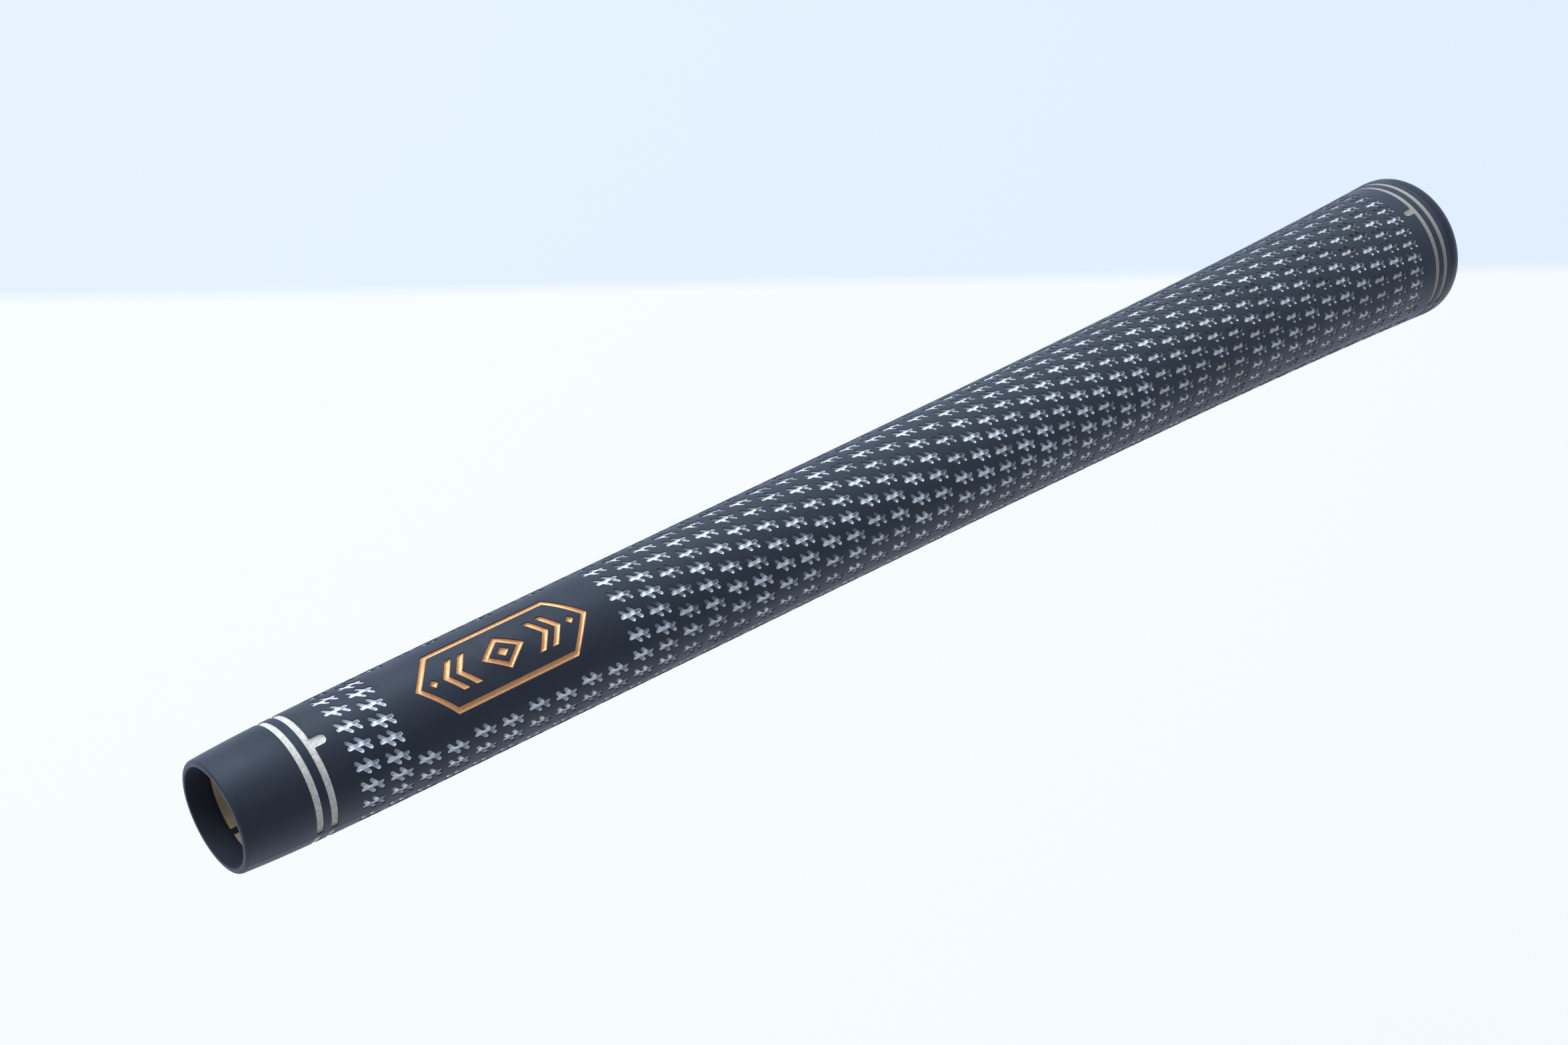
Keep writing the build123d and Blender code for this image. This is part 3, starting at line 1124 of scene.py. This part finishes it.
front.piece("grip_sleeve_front", sleeve_rubber, "sleeve_rubber", "grip_sleeve")
middle.piece("grip_sleeve_middle", sleeve_rubber, "sleeve_rubber", "grip_sleeve")
rear.piece("grip_sleeve_rear", sleeve_rubber, "sleeve_rubber", "grip_sleeve")


# ---------------------------------------------------------------------------
# Paint films. A film's tone says how dull it is: the tread's paint is fresh at the
# mouth, duller along the panel and dullest under the hands.
# ---------------------------------------------------------------------------
BUTT_RING_TONE = 1.0
MOUTH_TONE = 0.1
PANEL_TONE = 0.3
PANEL_STRETCH = (15, 90)
HAND_TONE = 0.22
HAND_STRETCH = (130, 220)
TONE_SPREAD = (-0.12, 0.15)

random.seed(7)
for feature in butt_front_ring + butt_rear_ring:
    feature.tone = BUTT_RING_TONE
for column in tread:
    for mark in column:
        along_panel = PANEL_TONE * smooth_step(mark.x, *PANEL_STRETCH)
        in_hand = HAND_TONE * smooth_step(mark.x, *HAND_STRETCH)
        mark.tone = MOUTH_TONE + along_panel + in_hand + random.uniform(*TONE_SPREAD)


def paint(node, features, material, slot):
    """The films of some features, in one piece that stands for a CAD node."""
    builder = Builder()
    for feature in features:
        feature.coat(builder)
    builder.piece(node + "_film", material, slot, node)


for number, (first, last) in enumerate(zip((0, *PAINT_CUTS), (*PAINT_CUTS, COLUMNS)), 1):
    builder = Builder()
    for column in tread[first:last]:
        coat_marks(builder, column)
    builder.piece(f"tread_paint_{number}", tread_paint, "tread_paint")
paint("mouth_ring_front_paint", mouth_front_ring, ring_paint, "ring_paint")
paint("mouth_ring_rear_paint", mouth_rear_ring, ring_paint, "ring_paint")
paint("butt_ring_front_paint", butt_front_ring, ring_paint, "ring_paint")
paint("butt_ring_rear_paint", butt_rear_ring, ring_paint, "ring_paint")
paint("emblem_frame_paint", emblem_frame, emblem_paint, "emblem_paint")
paint("emblem_lozenge_paint", emblem_lozenge, emblem_paint, "emblem_paint")
paint("emblem_chevron_paint", emblem_chevrons, emblem_paint, "emblem_paint")


# ---------------------------------------------------------------------------
# The butt cap: disc with a rounded rim, a sunk ring, a vent, and the skirt
# ---------------------------------------------------------------------------
cap = Builder()
joint_radius = grip_radius(SLEEVE_END)
ring_outer = CAP_RING_RADIUS + CAP_RING_WIDTH / 2
ring_inner = CAP_RING_RADIUS - CAP_RING_WIDTH / 2
ring_floor = CAP_END - CAP_RING_DEPTH
ring_top = CAP_END - CAP_EDGE
vent_outer = VENT_RADIUS + VENT_SINK
vent_top = CAP_END - CAP_EDGE / 2
disc_inner = CAP_END - CAP_DISC
outer_face = [(SLEEVE_END, joint_radius - CAP_EDGE), (SLEEVE_END + CAP_EDGE, joint_radius)]
outer_face += quarter(CAP_END - CAP_ROUND, BUTT_RADIUS - CAP_ROUND, CAP_ROUND, pi / 2, 0)
outer_face += [(CAP_END, CAP_FACE_RADII[0])]
outer_face += quarter(ring_top, ring_outer + CAP_EDGE, CAP_EDGE, 0, -pi / 2)
inner_face = quarter(ring_top, ring_inner - CAP_EDGE, CAP_EDGE, pi / 2, 0)
inner_face += [(CAP_END, CAP_FACE_RADII[1]), (CAP_END, vent_outer + CAP_EDGE)]
inner_face += [(vent_top, vent_outer)]
cap.add_lathe(
    [
        outer_face,
        [(ring_top, ring_outer), (ring_floor, ring_outer)],
        [(ring_floor, ring_outer), (ring_floor, ring_inner)],
        [(ring_floor, ring_inner), (ring_top, ring_inner)],
        inner_face,
        [(vent_top, vent_outer), (CAP_END - VENT_SINK, VENT_RADIUS)],
        [(CAP_END - VENT_SINK, VENT_RADIUS), (disc_inner, VENT_RADIUS)],
        [(disc_inner, VENT_RADIUS), (disc_inner, TAPE_RADIUS)],
        [(disc_inner, TAPE_RADIUS), (SOCKET_START, TAPE_RADIUS)],
        [(SOCKET_START, TAPE_RADIUS), (SOCKET_START, SKIRT_RADIUS)],
        [(SOCKET_START, SKIRT_RADIUS), (SLEEVE_END, SKIRT_RADIUS)],
        [(SLEEVE_END, SKIRT_RADIUS), (SLEEVE_END, joint_radius - CAP_EDGE)],
    ]
)
cap.piece("butt_cap_moulding", cap_rubber, "cap_rubber", "butt_cap")

for slot in bpy.data.objects["grip_tape"].material_slots:
    slot.material = tape_surface()


# ---------------------------------------------------------------------------
# Floor, lights and camera, in metres
# ---------------------------------------------------------------------------
FLOOR_LEVEL = -0.17
HALF_FLOOR = 4.0
FLOOR_BASE = (0.1, 0.1, 0.1, 1)
FLOOR_ROUGHNESS = 0.9
FLOOR_GLOW = 0.9
NEAR_COLOUR = (0.9, 0.937, 1.0, 1)
FAR_COLOUR = (0.725, 0.825, 1.0, 1)
ACROSS = (0.377, 0.926, 0.0)     # the way from the near colour to the far one
COLOUR_CHANGE = (0.2246, 0.2292)  # how far along it the change starts and ends

LIGHT_PLACE = (-0.05, 0.72, 0.67)
LIGHT_AIM = (0.13, 0.0, 0.0)
LIGHT_SIZE = (1.0, 0.7)
LIGHT_POWER = 12.5
LIGHT_COLOUR = (0.84, 0.92, 1.0)
GLOW_FROM = (-0.2, 0.72, 0.67)
GLOW_SPREAD = (-0.15, 0.95)      # cosines of the angles where the glow starts and is full
GLOW_STRENGTH = (0.38, 0.85)
SEEN_STRENGTH = 0.95
ROOM_COLOUR = (0.7, 0.83, 1.0, 1)

CAMERA_PLACE = (-0.1146, -0.1277, 0.3162)
CAMERA_AIM = (0.1050, 0.0032, 0.0)
CAMERA_ROLL = radians(27.05)
CAMERA_LENS = 58.67              # this and the sensor's width are in millimetres
CAMERA_SENSOR = 36.0
CAMERA_NEAREST = 0.01

scene = bpy.context.scene


def add_floor():
    """A plain pale floor, glowing slightly, in a near and a far colour."""
    corners = [(-1, -1), (1, -1), (1, 1), (-1, 1)]
    mesh = bpy.data.meshes.new("floor")
    points = [(HALF_FLOOR * x, HALF_FLOOR * y, FLOOR_LEVEL) for x, y in corners]
    mesh.from_pydata(points, [], [(0, 1, 2, 3)])
    floor = bpy.data.objects.new("floor", mesh)
    scene.collection.objects.link(floor)
    surface = Surface("floor", Base_Color=FLOOR_BASE, Roughness=FLOOR_ROUGHNESS)
    inputs = {0: surface.place, 1: ACROSS}
    along = surface.add("ShaderNodeVectorMath", inputs, operation="DOT_PRODUCT")
    far = surface.fit(along.outputs["Value"], *COLOUR_CHANGE)
    surface.drive("Emission Color", surface.mix(far, NEAR_COLOUR, FAR_COLOUR))
    surface.shader.inputs["Emission Strength"].default_value = FLOOR_GLOW
    mesh.materials.append(surface.material)


def light_the_room():
    """Bright towards the light and dim behind the camera, but pale wherever it is seen."""
    world = bpy.data.worlds.new("world")
    scene.world = world
    world.use_nodes = True
    nodes = world.node_tree.nodes
    link = world.node_tree.links.new
    room = nodes["Background"]
    facing = nodes.new("ShaderNodeVectorMath")
    facing.operation = "DOT_PRODUCT"
    link(nodes.new("ShaderNodeTexCoord").outputs["Generated"], facing.inputs[0])
    facing.inputs[1].default_value = Vector(GLOW_FROM).normalized()
    glow = nodes.new("ShaderNodeMapRange")
    glow.interpolation_type = "SMOOTHSTEP"
    link(facing.outputs["Value"], glow.inputs[0])
    for socket, value in enumerate(GLOW_SPREAD + GLOW_STRENGTH, 1):
        glow.inputs[socket].default_value = value
    seen = nodes.new("ShaderNodeMix")
    link(nodes.new("ShaderNodeLightPath").outputs["Is Camera Ray"], seen.inputs[0])
    link(glow.outputs[0], seen.inputs[2])
    seen.inputs[3].default_value = SEEN_STRENGTH
    link(seen.outputs[0], room.inputs["Strength"])
    room.inputs["Color"].default_value = ROOM_COLOUR


def aimed(place, target):
    """The transform of a light or camera at a place, facing a target."""
    place = Vector(place)
    facing = (Vector(target) - place).to_track_quat("-Z", "Y").to_matrix().to_4x4()
    return Matrix.Translation(place) @ facing


def add_softbox():
    """A large soft light above and beyond the grip."""
    light = bpy.data.lights.new("overhead_softbox", "AREA")
    light.shape = "RECTANGLE"
    light.size, light.size_y = LIGHT_SIZE
    light.energy = LIGHT_POWER
    light.color = LIGHT_COLOUR
    lamp = bpy.data.objects.new("overhead_softbox", light)
    scene.collection.objects.link(lamp)
    lamp.matrix_world = aimed(LIGHT_PLACE, LIGHT_AIM)


def add_camera():
    """The camera, rolled about its line of sight."""
    data = bpy.data.cameras.new("camera")
    data.lens = CAMERA_LENS
    data.sensor_width = CAMERA_SENSOR
    data.clip_start = CAMERA_NEAREST
    camera = bpy.data.objects.new("camera", data)
    scene.collection.objects.link(camera)
    roll = Matrix.Rotation(CAMERA_ROLL, 4, "Z")
    camera.matrix_world = aimed(CAMERA_PLACE, CAMERA_AIM) @ roll
    scene.camera = camera


add_floor()
light_the_room()
add_softbox()
add_camera()
scene.view_settings.view_transform = "Standard"
